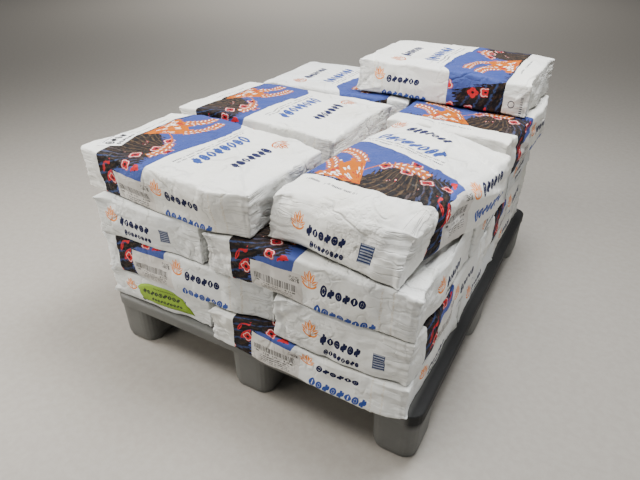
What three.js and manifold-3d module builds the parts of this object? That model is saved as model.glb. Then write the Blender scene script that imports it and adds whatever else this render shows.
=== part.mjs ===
// A pallet of filled paper sacks: one moulded plastic pallet with nine feet, twenty full
// sacks in four interlocked layers of five, one more sack on top at the back, and two
// stuck-on paper labels. Millimetres, +Z up, origin on the floor below the pallet's middle,
// the front along -Y.
import * as THREE from 'three';
import Module from 'manifold-3d';

// Pallet
const PALLET_X = 1000;
const PALLET_Y = 1200;
const DECK_TOP = 160;
const DECK_THICK = 35;
const DECK_CORNER = 38;
const DECK_EDGE_ROUND = 6;
const FOOT_X = 126;
const FOOT_MIDDLE_X = 134;
const FOOT_Y = 150;
const FOOT_CORNER = 38;
const FOOT_INTO_DECK = 5;
const FOOT_SET_BACK = 2.5;
const FOOT_RIM = 15;
const CORNER_STEPS = 5;

// Sacks
const SACK_LENGTH = 572;
const SACK_WIDTH = 376;
const REST_GAP = 0.3;
const LAYER_TOPS = [265, 385, 505, 630];
const TOP_SACK_TOP = 757;
const SACK_CORNER_STEPS = 4;
const SIDE_BULGE = 0.018;

// Along the length from one end (-1) to the other (1): how much the section is narrower on
// each side, how much lower, and the radius of its corners.
const SACK_PROFILE = [
  [-1, 27, 12, 18],
  [-0.985, 18, 5, 24],
  [-0.94, 12, 1, 30],
  [-0.72, 4, 0, 36],
  [0, -1.5, 0, 38],
  [0.72, 4, 0, 36],
  [0.94, 12, 1, 30],
  [0.985, 18, 5, 24],
  [1, 27, 12, 18],
];

// The askew sack in front at the right, which is looser: distance along the sack, its two
// sides, its underside and top above the layer below, the corner radius, and how far the
// section leans along the sack for each millimetre across it.
const ASKEW_PROFILE = [
  [-285, -158, 122, 12, 92, 26, -0.12],
  [-274, -184, 146, 4, 114, 40, -0.12],
  [-246, -203, 158, 0, 132, 50, -0.12],
  [-170, -202, 170, 0, 143, 54, -0.06],
  [0, -195, 189, 0, 145, 50, 0],
  [170, -191, 190, 0, 141, 42, 0],
  [248, -184, 184, 1, 133, 36, 0],
  [278, -176, 172, 6, 124, 30, 0],
  [288, -164, 160, 14, 112, 22, 0],
];

// The bottom edge that sags over the front of the pallet, more toward the corner: its steps
// are [x, underside].
const OVERHANG_GAP = 1.2;
const OVERHANG_OUT = 11;
const OVERHANG_TOP = 205;
const OVERHANG_STEPS = [
  [-30, 158],
  [60, 152],
  [340, 140],
  [452, 141],
];

// Labels
const LABEL_THICK = 0.6;
const LABEL_GAP = 0.3;
const GREEN_LABEL_X = -290;
const GREEN_LABEL_Z = 212;
const GREEN_LABEL_OUTLINE = [
  [-103, 8],
  [-97, -14],
  [-84, -30],
  [-60, -34],
  [0, -34],
  [60, -34],
  [100, -33],
  [88, -10],
  [64, 14],
  [32, 29],
  [-8, 34],
  [-58, 31],
  [-88, 22],
];
const WHITE_LABEL_X = -488;
const WHITE_LABEL_Y = -476;
const WHITE_LABEL_LONG = 108;
const WHITE_LABEL_WIDE = 76;
const WHITE_LABEL_TURN = 106;

const PAPER = 0xd9d7d2;

const DEGREE = Math.PI / 180;
const FRONT = -PALLET_Y / 2;

const wasm = await Module();
wasm.setup();

const part = new THREE.Group();
part.name = 'pallet_of_sacks';

// A closed mesh from rings of equal length, bottom or near ring first.
function loft(rings) {
  const count = rings[0].length;
  const positions = rings.flat(2);
  const faces = [];
  for (let r = 0; r + 1 < rings.length; r += 1) {
    for (let i = 0; i < count; i += 1) {
      const a = r * count + i;
      const b = r * count + ((i + 1) % count);
      faces.push(a, b, b + count, a, b + count, a + count);
    }
  }
  const last = (rings.length - 1) * count;
  for (let i = 1; i + 1 < count; i += 1) {
    faces.push(0, i + 1, i);
    faces.push(last, last + i, last + i + 1);
  }
  return { positions, faces };
}

function toManifold({ positions, faces }) {
  return new wasm.Manifold(new wasm.Mesh({
    numProp: 3,
    vertProperties: Float32Array.from(positions),
    triVerts: Uint32Array.from(faces),
  }));
}

function geometryOf(solid) {
  const mesh = solid.getMesh();
  const geometry = new THREE.BufferGeometry();
  const points = [];
  for (let i = 0; i < mesh.vertProperties.length; i += mesh.numProp) {
    points.push(mesh.vertProperties[i], mesh.vertProperties[i + 1], mesh.vertProperties[i + 2]);
  }
  geometry.setAttribute('position', new THREE.Float32BufferAttribute(points, 3));
  geometry.setIndex(Array.from(mesh.triVerts));
  geometry.computeVertexNormals();
  return geometry;
}

function add(name, solid, colour, roughness) {
  const material = new THREE.MeshStandardMaterial({ color: colour, roughness });
  material.name = `${name}_material`;
  const mesh = new THREE.Mesh(geometryOf(solid), material);
  mesh.name = name;
  part.add(mesh);
}

// Points of a rounded rectangle, counter-clockwise seen from above.
function roundedRing(x0, x1, y0, y1, radius, z) {
  const ring = [];
  const corners = [
    [x1 - radius, y0 + radius, -90],
    [x1 - radius, y1 - radius, 0],
    [x0 + radius, y1 - radius, 90],
    [x0 + radius, y0 + radius, 180],
  ];
  for (const [cx, cy, start] of corners) {
    for (let i = 0; i <= CORNER_STEPS; i += 1) {
      const angle = (start + (90 * i) / CORNER_STEPS) * DEGREE;
      ring.push([cx + radius * Math.cos(angle), cy + radius * Math.sin(angle), z]);
    }
  }
  return ring;
}

// A block from [height, inset] steps, each a smaller or larger copy of one outline.
function steppedBlock(x0, x1, y0, y1, radius, steps) {
  return toManifold(loft(steps.map(([z, inset]) => (
    roundedRing(x0 + inset, x1 - inset, y0 + inset, y1 - inset, radius - inset * 0.5, z)
  ))));
}

function palletSolid() {
  const halfX = PALLET_X / 2;
  const halfY = PALLET_Y / 2;
  let solid = steppedBlock(-halfX, halfX, -halfY, halfY, DECK_CORNER, [
    [DECK_TOP - DECK_THICK, 2],
    [DECK_TOP - DECK_THICK + 3, 0],
    [DECK_TOP - DECK_EDGE_ROUND, 0],
    [DECK_TOP - DECK_EDGE_ROUND * 0.3, DECK_EDGE_ROUND * 0.3],
    [DECK_TOP, DECK_EDGE_ROUND],
  ]);
  const under = DECK_TOP - DECK_THICK;
  const footSteps = [
    [0, 6],
    [FOOT_RIM - 4, 4.5],
    [FOOT_RIM, 2.5],
    [under, 0],
    [under + FOOT_INTO_DECK, 0],
  ];
  for (const column of [-1, 0, 1]) {
    for (const row of [-1, 0, 1]) {
      const sizeX = column === 0 ? FOOT_MIDDLE_X : FOOT_X;
      const centreX = column * (halfX - FOOT_SET_BACK - sizeX / 2);
      const centreY = row * (halfY - FOOT_SET_BACK - FOOT_Y / 2);
      const foot = steppedBlock(
        centreX - sizeX / 2,
        centreX + sizeX / 2,
        centreY - FOOT_Y / 2,
        centreY + FOOT_Y / 2,
        FOOT_CORNER,
        footSteps,
      );
      solid = solid.add(foot);
    }
  }
  return solid;
}

// One cross-section of a sack at u along its length: a rectangle with rounded corners from
// v0 to v1 and z0 to z1, its two sides bulging a little.
function sackRing(frame, { u, v0, v1, z0, z1, radius, lean }) {
  const side = (v1 - v0) / 2;
  const corners = [
    [v1 - radius, z0 + radius, -90],
    [v1 - radius, z1 - radius, 0],
    [v0 + radius, z1 - radius, 90],
    [v0 + radius, z0 + radius, 180],
  ];
  const flat = [];
  corners.forEach(([cv, cz, start], k) => {
    for (let i = 0; i <= SACK_CORNER_STEPS; i += 1) {
      const angle = (start + (90 * i) / SACK_CORNER_STEPS) * DEGREE;
      flat.push([cv + radius * Math.cos(angle), cz + radius * Math.sin(angle)]);
    }
    if (k === 0) flat.push([v1 + side * SIDE_BULGE, (z0 + z1) / 2]);
    if (k === 2) flat.push([v0 - side * SIDE_BULGE, (z0 + z1) / 2]);
  });
  return flat.map(([v, z]) => {
    const along = u + v * lean;
    return [
      frame.x + along * frame.cos - v * frame.sin,
      frame.y + along * frame.sin + v * frame.cos,
      z,
    ];
  });
}

// One filled sack lying with its length along X, or along Y, then turned by its yaw. Its
// cross-section hardly changes until it narrows to a flat folded end.
function sackSolid(spec) {
  const halfLength = (spec.length ?? SACK_LENGTH) / 2;
  const halfWidth = (spec.width ?? SACK_WIDTH) / 2;
  const z0 = spec.bottom + REST_GAP;
  const height = spec.top - z0;
  const turn = ((spec.alongY ? 90 : 0) + (spec.yaw ?? 0)) * DEGREE;
  const frame = { x: spec.x, y: spec.y, cos: Math.cos(turn), sin: Math.sin(turn) };
  const rings = spec.rings
    ? spec.rings.map(([u, v0, v1, low, high, radius, lean]) => ({
      u, v0, v1, z0: z0 + low, z1: z0 + high, radius, lean,
    }))
    : SACK_PROFILE.map(([along, narrower, lower, radius]) => ({
      u: along * halfLength,
      v0: -halfWidth + narrower,
      v1: halfWidth - narrower,
      z0: z0 + lower * 0.8,
      z1: z0 + height - lower,
      radius,
      lean: 0,
    }));
  return toManifold(loft(rings.map((ring) => sackRing(frame, ring))));
}

// The bottom edge of the lowest sack in front at the right, which sags over the edge.
function overhang() {
  const back = FRONT - OVERHANG_GAP;
  const front = FRONT - OVERHANG_OUT;
  return toManifold(loft(OVERHANG_STEPS.map(([x, low]) => [
    [x, front, low + 4],
    [x, back, low],
    [x, back, OVERHANG_TOP],
    [x, front, OVERHANG_TOP],
  ])));
}

function addSack(name, spec) {
  let solid = sackSolid(spec);
  if (spec.overhang) solid = solid.add(overhang());
  add(name, solid, PAPER, 0.75);
}

// A thin plate. place() turns a point of the outline, and its height over the sack, into a
// point of the part.
function addLabel(name, outline, place, colour) {
  const rings = [0, LABEL_THICK].map((out) => outline.map((point) => place(point, out)));
  add(name, toManifold(loft(rings)), colour, 0.6);
}

add('pallet', palletSolid(), 0x55575a, 0.6);

// Four layers. In the odd ones the left column has two sacks lying front to back and the
// right column three lying across, and in the even ones it is the other way round.
const ACROSS_PITCH = 393;
const LENGTHWISE_PITCH = 592;
const GREEN_SACK_BACK = 6;

const deepTwo = (x, yFront) => [0, 1].map((i) => ({
  x, y: yFront + SACK_LENGTH / 2 + i * LENGTHWISE_PITCH, alongY: true,
}));
const deepThree = (x, yFront) => [0, 1, 2].map((i) => ({
  x, y: yFront + SACK_WIDTH / 2 + i * ACROSS_PITCH,
}));

const layers = [
  { left: deepTwo(-308, FRONT + GREEN_SACK_BACK), right: deepThree(186, FRONT - 10) },
  { left: deepThree(-205, FRONT + 6), right: deepTwo(286, FRONT - 2) },
  { left: deepTwo(-302, FRONT + 2), right: deepThree(190, FRONT + 2) },
];

// The fourth layer lies less neatly, so each of its sacks has a place of its own.
const fourth = {
  left: [
    { x: -242, y: -402, yaw: -4.5, length: 590, width: 368 },
    { x: -248, y: 16, yaw: -2.5, length: 596, width: 376 },
    { x: -200, y: 424, yaw: 1, length: 580, width: 372 },
  ],
  right: [
    { x: 272, y: -308, yaw: -15, alongY: true, rings: ASKEW_PROFILE },
    { x: 304, y: 326, yaw: -2.5, alongY: true, width: 384, top: 632 },
  ],
};
layers.push(fourth);

const placeNames = {
  2: ['front', 'back'],
  3: ['front', 'middle', 'back'],
};

let bottom = DECK_TOP;
layers.forEach((layer, index) => {
  for (const side of ['left', 'right']) {
    layer[side].forEach((place, i) => {
      const where = placeNames[layer[side].length][i];
      addSack(`sack_layer${index + 1}_${side}_${where}`, {
        bottom,
        top: LAYER_TOPS[index],
        overhang: index === 0 && side === 'right' && i === 0,
        ...place,
      });
    });
  }
  bottom = LAYER_TOPS[index];
});

addSack('sack_layer5_back', {
  x: 192, y: 432, yaw: -1.5, length: 580, width: 352, bottom: 632, top: TOP_SACK_TOP,
});

// The green label is on the end of the lowest front sack, the white one on top of the sack
// in front at the left of the fourth layer.
addLabel(
  'green_label',
  GREEN_LABEL_OUTLINE,
  ([across, up], out) => [
    GREEN_LABEL_X + across,
    FRONT + GREEN_SACK_BACK - LABEL_GAP - out,
    GREEN_LABEL_Z + up,
  ],
  0x8aa62a,
);

const whiteCos = Math.cos(WHITE_LABEL_TURN * DEGREE);
const whiteSin = Math.sin(WHITE_LABEL_TURN * DEGREE);
addLabel(
  'white_label',
  [[-1, -1], [1, -1], [1, 1], [-1, 1]].map(([a, b]) => [
    (a * WHITE_LABEL_LONG) / 2,
    (b * WHITE_LABEL_WIDE) / 2,
  ]),
  ([along, across], out) => [
    WHITE_LABEL_X + along * whiteCos - across * whiteSin,
    WHITE_LABEL_Y + along * whiteSin + across * whiteCos,
    LAYER_TOPS[3] + LABEL_GAP + out,
  ],
  0xf2f2f0,
);

export default part;
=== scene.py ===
"""A pallet of printed paper sacks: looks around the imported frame.

Each sack is a closed mesh on a box lattice. Cloth simulation between two plates gives the way
that filled paper swells and wrinkles. Facets, pleats, creases, laps, folds and corner ears are
added, and the sack is then set in its own place in the stack. The sizes repeat those of the CAD
source.
"""
import math
from itertools import product
from types import SimpleNamespace

import bpy
import numpy as np
from mathutils import Matrix, Vector
from mathutils.bvhtree import BVHTree


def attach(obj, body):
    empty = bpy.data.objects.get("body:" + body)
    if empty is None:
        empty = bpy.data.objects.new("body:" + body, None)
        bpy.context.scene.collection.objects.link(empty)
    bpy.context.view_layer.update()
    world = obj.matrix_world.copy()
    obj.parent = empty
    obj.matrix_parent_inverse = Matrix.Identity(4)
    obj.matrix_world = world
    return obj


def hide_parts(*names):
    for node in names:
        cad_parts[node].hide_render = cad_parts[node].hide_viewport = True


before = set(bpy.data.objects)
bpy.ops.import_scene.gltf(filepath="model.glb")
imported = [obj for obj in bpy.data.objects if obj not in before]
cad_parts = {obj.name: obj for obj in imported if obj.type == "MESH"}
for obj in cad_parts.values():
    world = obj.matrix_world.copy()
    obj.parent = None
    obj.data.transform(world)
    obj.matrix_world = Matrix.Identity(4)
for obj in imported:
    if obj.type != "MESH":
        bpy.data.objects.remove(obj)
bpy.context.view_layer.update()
scene = bpy.context.scene
MM = 0.001

# The stack, as in the CAD source, in millimetres
SACK_LENGTH = 572
SACK_WIDTH = 376
REST_GAP = 0.3
DECK_TOP = 160
FRONT = -600
LAYER_TOPS = [265, 385, 505, 630]
TOP_SACK_BOTTOM = 632
TOP_SACK_TOP = 757
ACROSS_PITCH = 393
LENGTHWISE_PITCH = 592

# The askew sack: place along it, right and left edge, height
ASKEW_PROFILE = np.array([
    (-288, -212, 152, 124), (-246, -208, 162, 137), (-170, -204, 172, 149), (0, -200, 190, 158),
    (170, -195, 192, 158), (248, -186, 190, 156), (288, -170, 184, 152),
], float).T
# Its front end: place across, from right to left, and where the end is below and above
ASKEW_FRONT = np.array([
    (-212, -232, -178), (-171, -254, -200), (-151, -260, -214), (-89, -270, -236),
    (-29, -273, -257), (44, -278, -258), (118, -289, -261), (152, -290, -263),
], float).T

# Camera: its place, the way it looks and its lens
CAMERA_AT = (0.7037, -1.4503, 1.1753)
CAMERA_YAW = -29.14
CAMERA_PITCH = 31.624
CAMERA_ROLL = -0.4175
CAMERA_LENS = 30.16

# Lights: name, place, what they face, size, watts, colour
SOFT_WHITE = (1.0, 0.985, 0.96)
LIGHTS = [
    ("back_light", (0.50, 0.30, 2.8), (0, 0, 0.5), (1.0, 1.0), 122, (0.975, 0.99, 1.0)),
    ("side_light", (-1.9, -0.8, 1.9), (0, -0.1, 0.6), (0.7, 0.7), 60, SOFT_WHITE),
    ("key_light", (-0.2, -1.25, 2.8), (0, 0, 0.5), (0.9, 0.9), 27, (1.0, 0.965, 0.90)),
    ("front_fill", (-1.2, -1.8, 0.80), (-0.25, -0.6, 0.3), (1.0, 0.8), 14, (1.0, 0.95, 0.86)),
    ("right_light", (1.6, -0.55, 0.9), (0.45, -0.45, 0.45), (0.6, 0.6), 5, SOFT_WHITE),
    ("floor_light", (-4.0, 7.0, 3.4), (-3.6, 7.0, 0), (5.0, 4.0), 290, SOFT_WHITE),
]
WORLD_COLOUR = (0.93, 0.96, 1.0, 1)
WORLD_STRENGTH = 0.12


def add_object(name, data):
    ob = bpy.data.objects.new(name, data)
    scene.collection.objects.link(ob)
    return ob


def add_camera():
    data = bpy.data.cameras.new("camera")
    data.lens = CAMERA_LENS
    data.sensor_width = 36
    data.clip_end = 100
    yaw, pitch, roll = (math.radians(a) for a in (CAMERA_YAW, CAMERA_PITCH, CAMERA_ROLL))
    level = Vector((math.sin(yaw), math.cos(yaw), 0))
    forward = level * math.cos(pitch) + Vector((0, 0, -math.sin(pitch)))
    right0 = level.cross(Vector((0, 0, 1))).normalized()
    down0 = forward.cross(right0).normalized()
    right = right0 * math.cos(roll) + down0 * math.sin(roll)
    up = right.cross(forward).normalized()
    scene.camera = add_object("camera", data)
    scene.camera.matrix_world = Matrix([
        *((right[i], up[i], -forward[i], CAMERA_AT[i]) for i in range(3)), (0, 0, 0, 1),
    ])


def add_area_light(name, at, towards, size, energy, colour):
    data = bpy.data.lights.new(name, "AREA")
    data.shape = "RECTANGLE"
    data.size, data.size_y = size
    data.energy = energy
    data.color = colour
    ob = add_object(name, data)
    ob.location = at
    ob.rotation_euler = (Vector(towards) - Vector(at)).to_track_quat("-Z", "Y").to_euler()


def add_world():
    scene.world = bpy.data.worlds.new("world")
    scene.world.use_nodes = True
    back = scene.world.node_tree.nodes["Background"]
    back.inputs["Color"].default_value = WORLD_COLOUR
    back.inputs["Strength"].default_value = WORLD_STRENGTH


# Shader graphs, written as arithmetic on sockets


class Graph:
    """A material, and calls that each add a shader node to it."""

    def __init__(self, name):
        self.material = bpy.data.materials.new(name)
        self.material.use_nodes = True
        self.tree = self.material.node_tree
        self.tree.nodes.clear()

    def node(self, kind, inputs=(), **settings):
        """A node with its settings, and with inputs in their order or by name or number."""
        made = self.tree.nodes.new("ShaderNode" + kind)
        for key, value in settings.items():
            setattr(made, key, value)
        for key, value in inputs.items() if isinstance(inputs, dict) else enumerate(inputs):
            if isinstance(value, Value):
                self.tree.links.new(value.socket, made.inputs[key])
            else:
                made.inputs[key].default_value = value
        return made

    def value(self, kind, inputs=(), output=0, **settings):
        return Value(self, self.node(kind, inputs, **settings).outputs[output])

    def math(self, operation, *values):
        return self.value("Math", values, operation=operation)

    def add_vectors(self, a, b):
        return self.value("VectorMath", (a, b), operation="ADD")

    def combine(self, x, y=0, z=0):
        return self.value("CombineXYZ", (x, y, z))

    def separate(self, vector):
        return [Value(self, s) for s in self.node("SeparateXYZ", (vector,)).outputs]

    def place(self):
        return self.value("TexCoord", output="Object")

    def printed(self):
        """Place on the printed sheet, in metres."""
        return self.separate(self.value("UVMap", uv_map="print"))[:2]

    def ramp(self, value, low, high, to_low=0, to_high=1):
        inputs = (value, low, high, to_low, to_high)
        return self.value("MapRange", inputs, clamp=True, interpolation_type="SMOOTHSTEP")

    def mix(self, fac, a, b, blend="MIX"):
        a, b = ((*c, 1.0) if isinstance(c, tuple) else c for c in (a, b))
        return self.value("Mix", {0: fac, 6: a, 7: b}, 2, data_type="RGBA", blend_type=blend)

    def noise(self, vector, scale, detail=2, rough=0.5, kind="3D"):
        inputs = {"Vector": vector, "Scale": scale, "Detail": detail, "Roughness": rough}
        return self.value("TexNoise", inputs, noise_dimensions=kind)

    def openness(self, reach):
        """How open the place is to its surroundings, from 0 deep in a gap to 1."""
        return self.value("AmbientOcclusion", {"Distance": reach}, "AO", samples=8)

    def hash(self, a, b=None):
        """A random number from 0 to 1 for each whole number, or for each pair of them."""
        if b is None:
            return self.value("TexWhiteNoise", {"W": a}, noise_dimensions="1D")
        return self.value("TexWhiteNoise", {"Vector": self.combine(a, b)}, noise_dimensions="2D")

    def bump(self, height, distance, strength):
        return self.value("Bump", {"Strength": strength, "Distance": distance, "Height": height})

    def surface(self, colour, roughness, normal, gloss):
        shader = self.node("BsdfPrincipled", {
            "Base Color": colour, "Roughness": roughness, "Normal": normal, "Specular IOR Level": gloss,
        })
        self.tree.links.new(shader.outputs[0], self.node("OutputMaterial").inputs["Surface"])
        return self.material


def operator(operation, swapped=False):
    """A method of Value that adds one math node."""
    def method(self, *others):
        return self.graph.math(operation, *((*others, self) if swapped else (self, *others)))
    return method


class Value:
    """What a socket gives, for use in arithmetic."""

    def __init__(self, graph, socket):
        self.graph, self.socket = graph, socket

    __add__ = __radd__ = operator("ADD")
    __sub__ = operator("SUBTRACT")
    __rsub__ = operator("SUBTRACT", swapped=True)
    __mul__ = __rmul__ = operator("MULTIPLY")
    __truediv__ = operator("DIVIDE")
    __abs__ = operator("ABSOLUTE")
    __lt__ = operator("LESS_THAN")
    __gt__ = operator("GREATER_THAN")
    floor = operator("FLOOR")

    def __neg__(self):
        return self * -1

    def wrap(self, period):
        """Distance to the middle of a cell of this period, from minus to plus half of it."""
        return self.graph.math("WRAP", self, period / 2, -period / 2)


def between(x, low, high):
    return (x > low) * (x < high)


def either(*masks):
    made = masks[0]
    for mask in masks[1:]:
        made = made.graph.math("MAXIMUM", made, mask)
    return made


def square(x):
    return x * x


def length(g, x, y):
    return g.math("SQRT", square(x) + square(y))


# Print, in millimetres. On the flat sheet u runs along the sack and v runs round it from the middle
# of the top. The two end caps lie beyond CAP_FROM, one above the other, each in its row
HALF_LENGTH = 286
HALF_WIDTH = 188
SIDE_HEIGHT = 115
HALF_GIRTH = 480
SHEET_EDGE = 479
CAP_FROM = 620
CAP_MIDDLE = 800
CAP_ROWS = (100, 300)
# Places of the print's parts on the sheet. The top's are across and along it. The sides' are the u
# of emblem, first and second row, on the right and on the left
ART_FROM = 72
TOP_NAVY_AT = (-80, 441)
TOP_BLUE_AT = (-102, 345)
TOP_EMBLEM_AT = (-124, 448)
SMALL_LINES = ((3, 299), (40, 312))
MARGIN_LINE = 48
SIDE_PLACES = ((1, (298, 327, 309)), (-1, (492, 464, 482)))
# Box with bars: along the sack, and how far down the side it starts
BOX_SPAN = (132, 278)
BOX_DOWN = 38
BARS_SPAN = (141, 262)
BARS_DOWN = (70, 88)
BAR_PITCH = 4.6
# Ring and scale on the left side's margin, and the marks of glue
RING_AT = (44, 82)
SCALE_SPAN = (9, 17)
SCALE_ROUND = (-306, -238)
GLUE_SPANS = ((476, 482), (508, 514))

# Inks. The same ink has two copies: darker on the tops (BLUE, RED, TEXT_BLUE, TOP_SPRIG) and lighter on the
# sides and caps (SIDE_...), painted shade and light because the tops get more light
BLUE = (0.038, 0.060, 0.230)
SIDE_BLUE = (0.065, 0.100, 0.340)
ORANGE = (0.44, 0.105, 0.001)
SIDE_ORANGE = (0.86, 0.27, 0.040)
RED = (0.30, 0.010, 0.020)
SIDE_RED = (0.58, 0.022, 0.030)
WHITE = (0.80, 0.80, 0.79)
DARK = (0.010, 0.009, 0.011)
BROWN = (0.040, 0.024, 0.016)
STRAW = (0.085, 0.055, 0.030)
SLATE = (0.034, 0.055, 0.140)
NAVY = (0.008, 0.011, 0.055)
TEXT_BLUE = (0.026, 0.058, 0.240)
SIDE_TEXT_BLUE = (0.036, 0.080, 0.330)
SMALL_PRINT = (0.035, 0.035, 0.055)
GREY_BOX = (0.66, 0.635, 0.60)
MARKS = (0.13, 0.125, 0.12)
GLUE = (0.66, 0.57, 0.42)
TOP_SPRIG = (0.48, 0.110, 0.003)
PETAL_EDGE = (0.70, 0.52, 0.47)


def turned(x, y, degrees):
    c, s = math.cos(math.radians(degrees)), math.sin(math.radians(degrees))
    return x * c + y * s, y * c - x * s


def grain(x, y, tall, wide, slit):
    """A pointed grain upright at the origin, slit along its middle."""
    inside = (abs(x) / wide + square(y / tall)) < 1
    return inside * either(abs(x) > slit, abs(y) > tall * 0.72)


def motif_row(g, x, y, count, pitch, height, seed, lean, weight):
    """A row of ringed grains, slit grains and leafy stems, from x = 0 to count times the pitch."""
    cell = (x / pitch).floor()
    kind = g.math("FRACT", cell * 0.618 + seed * 0.37)
    tall = (cell < 0.5) * (height * 0.22) + height * 0.80
    off = x - (cell + 0.5) * pitch - y * lean
    local = abs(off)
    half = pitch * 0.46
    b = y / tall
    oval = (square(local / half) + square(b)) < 1
    hollow = (square(local / (half - weight)) + square(y / (tall - weight))) < 1
    core = (local / (half * 0.36) + square(b / 0.55)) < 1
    ring = oval * either(1 - hollow, core)
    lens = (local / half + square(b)) < 1
    slit = lens * either(local > weight * 0.20, abs(b) > 0.50)
    leaves = (square((local - half * 0.55) / (half * 0.46)) + square((y - off * 0.5) / (tall * 0.60))) < 1
    stem = either((local < weight * 0.55) * (abs(b) < 1), leaves)
    is_ring, is_stem = kind < 0.36, kind > 0.68
    shape = ring * is_ring + stem * is_stem + slit * (1 - is_ring - is_stem)
    return shape * between(x, 0, count * pitch)


def dash_row(g, x, y, height, pitch, seed):
    """A line of small dashes, as a line of small print looks from afar."""
    dashes = (abs(y) < height) * (abs(x.wrap(pitch)) < pitch * 0.33)
    return dashes * (g.hash((x / pitch).floor() + seed) > 0.22)


def sprig(g, x, y):
    """Five grains in a fan over a dish, about 42 wide and 52 high."""
    ax = abs(x)
    x1, y1 = turned(ax - 8.6, y - 8, -24)
    x2, y2 = turned(ax - 14.5, y + 1.5, -54)
    away = length(g, x, y - 2)
    dish = between(away, 18, 22.5) * (y < -6)
    stalk = (abs(ax - 2.5 - y * 0.05) < 1.1) * between(y, -17, 2)
    return either(
        grain(x, y - 12, 14, 5.6, 1), grain(x1, y1, 12.5, 5, 1), grain(x2, y2, 10.5, 4.6, 0.9),
        dish, stalk,
    )


def bending_ear(g, x, y, centre, radius, start, end, side):
    """An ear of grain on a stalk that bends round a centre. start and end are angles."""
    dx, dy = (x - centre[0]) * side, y - centre[1]
    away = length(g, dx, dy) - radius
    along = g.math("ARCTAN2", dy, dx) * radius
    span = math.radians(end - start) * radius
    first = math.radians(start) * radius
    in_ear = between(along, first, first + span)
    local = (along - first - abs(away) * 0.9).wrap(15)
    off = abs(away) - 8.6
    seeds = (square(local / 7.3) + square(off / 8.8)) < 1
    cores = (square(local / 3.4) + square(off / 3.6)) < 1
    body = (abs(away) < 16) * in_ear
    stalk = either((abs(away) < 2) * between(along, 0, first + 4), body * (abs(away) < 2.2))
    return seeds * in_ear, cores * in_ear, stalk, body


def picture(g, u, v):
    """The field picture: poppies on ploughed land, a sheaf, bending ears. Gives its area and colour."""
    past_right = g.math("MAXIMUM", v - HALF_WIDTH, 0)
    far_edge = HALF_LENGTH - g.ramp(v, -120, 100, 0, 25) - g.ramp(v, -140, -200, 0, 34)
    far_edge = far_edge - past_right * 0.30
    art = between(u, ART_FROM, far_edge) * (u < CAP_FROM)

    # Ploughed land, with a ragged crest
    ragged = g.noise(g.combine(v, u * 0.2), 0.10, 3, 0.6, "2D")
    spike = abs((v + u * 0.3).wrap(11))
    crest = 78 + g.ramp(v, -35, 95, 0, 148) - g.ramp(v, 178, 232, 0, 92)
    crest = crest + g.ramp(v, -178, -262, 0, 150) + spike * 3.2 + ragged * 60 - 38
    land = art * (u < crest)
    around = g.math("ARCTAN2", v - 60, 250 - u)
    away = length(g, u - 250, v - 60)
    swirl = around * 8 + away * 0.020
    furrow = abs((swirl + ragged * 0.6).wrap(1))
    clods = g.noise(g.combine(swirl * 3, away * 0.05), 1, 3, 0.7, "2D")
    soil = g.mix(g.ramp(clods, 0.46, 0.64), DARK, BROWN)
    stroke = g.mix(g.ramp(abs(v - 40), 90, 150), STRAW, SLATE)
    soil = g.mix(g.ramp(furrow, 0.15, 0.07) * g.ramp(clods, 0.34, 0.52), soil, stroke)

    # Poppies along the crest
    cell_u, cell_v = 62, 56
    inputs = {"Vector": g.combine(u / cell_u + 0.30, v / cell_v + 0.62), "Scale": 1, "Randomness": 0.45}
    cells = g.node("TexVoronoi", inputs, voronoi_dimensions="2D", feature="F1")
    spot_u, spot_v, _ = g.separate(Value(g, cells.outputs["Position"]))
    dx, dy = u - (spot_u - 0.30) * cell_u, v - (spot_v - 0.62) * cell_v
    tint, keep, _ = g.separate(Value(g, cells.outputs["Color"]))
    petals = abs(g.math("COSINE", g.math("ARCTAN2", dy, dx) * 2 + tint * 6)) * 0.28 + 0.72
    size = (keep * 8 + 15) * petals
    dist = length(g, dx, dy)
    in_field = between(u - crest, -74, 46) * (v > 20) * (u < far_edge - 16) * (keep > 0.2)
    flower_area = either(in_field, (v < -215) * between(u, 120, 250) * (keep > 0.35)) * art
    flower = (dist < size) * flower_area
    rim = between(dist / size, 0.74, 0.90) * flower_area * (tint > 0.35)
    heart = (dist < 4.6) * flower_area
    stem = (abs(dy + dx * 0.3) < 1.2) * between(-dx, 0, 46) * flower_area
    bud = grain(*turned(u - 112, v - 246, 38), 27, 8.5, 1.4) * art
    bud = either(bud, grain(*turned(u - 94, v - 226, 24), 17, 5, 1.2) * art)

    # Sheaf: a fan of grain, and ears that bend over
    fan_x, fan_y = v - 40, u - 80
    fan_angle = g.math("ARCTAN2", fan_y, -fan_x)
    fan_away = length(g, fan_x, fan_y)
    row = (fan_away / 18).floor()
    column = fan_angle * 7 + row * 0.5
    depth = fan_away / 18 - row - 0.5
    husk = (abs(column.wrap(1)) * 2.5 + square(depth) * 3) < 1
    reach = 128 + g.hash((fan_angle * 7).floor()) * 26
    in_fan = art * between(fan_angle, -0.02, 1.02) * (fan_away < reach)
    pale = g.hash(row, column.floor())

    # Painted shade and light: the top takes the darker inks and the sides the lighter ones, because the
    # tops get more light
    on_side = g.ramp(abs(v), 180, 200)
    red = g.mix(on_side, RED, SIDE_RED)
    colour = g.mix(land, g.mix(on_side, BLUE, SIDE_BLUE), soil)
    for mask, ink in (
        (stem, DARK), (either(flower, bud), red), (rim, PETAL_EDGE), (heart, DARK), (in_fan, ORANGE),
        (husk * in_fan * (pale > 0.66), WHITE), (husk * in_fan * (pale > 0.86), red),
    ):
        colour = g.mix(mask, colour, ink)
    for ear in (((-118, 84), 128, 44, 102, 1), ((-158, 78), 88, 30, 96, 1),
                ((104, 104), 112, 60, 106, -1)):
        seeds, cores, stalk, body = bending_ear(g, v, u, *ear)
        on = art * (abs(v) < HALF_WIDTH)
        colour = g.mix(body * on, colour, BLUE)
        colour = g.mix(either(seeds, stalk) * on, colour, ORANGE)
        colour = g.mix(cores * on, colour, WHITE)
    return art, colour


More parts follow.
